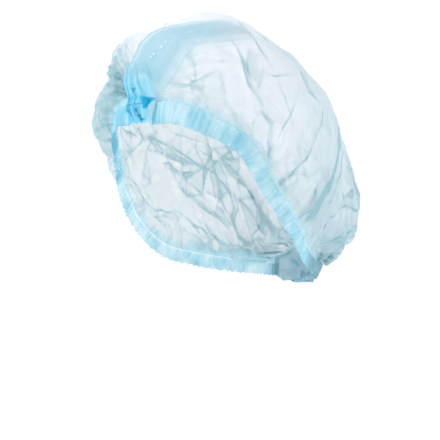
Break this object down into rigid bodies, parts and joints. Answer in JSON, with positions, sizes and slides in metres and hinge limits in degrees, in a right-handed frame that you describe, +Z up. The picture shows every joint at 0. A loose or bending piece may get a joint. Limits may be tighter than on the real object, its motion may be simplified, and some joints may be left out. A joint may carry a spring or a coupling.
{
  "type": "disposable hairnet",
  "caption": "Clip cap of thin pleated non-woven with two gathered elastic edges, bunched in a knot at the forehead and in another at the nape.",
  "frame": {"origin": "middle of the head opening, where a head carries the cap", "axes": "+Z up out of the top of the head, -Y the way the wearer looks, +X the wearer's left"},
  "size_m": [0.2025, 0.2262, 0.2025],
  "materials": {
    "sheer_cloth": "one sheer layer of spunbond non-woven, very pale blue",
    "hem_cloth": "doubled and gathered non-woven, light blue",
    "knot_cloth": "many bunched layers of non-woven, clear cyan blue",
    "pleat_cloth": "stacked pleats of non-woven, light blue"
  },
  "bodies": {
    "root": {"crown": "sheer_cloth", "hem_left": "hem_cloth", "hem_right": "hem_cloth", "front_knot": "knot_cloth", "nape_knot": "knot_cloth", "front_pleats": "pleat_cloth", "nape_pleats": "pleat_cloth"}
  },
  "joints": []
}
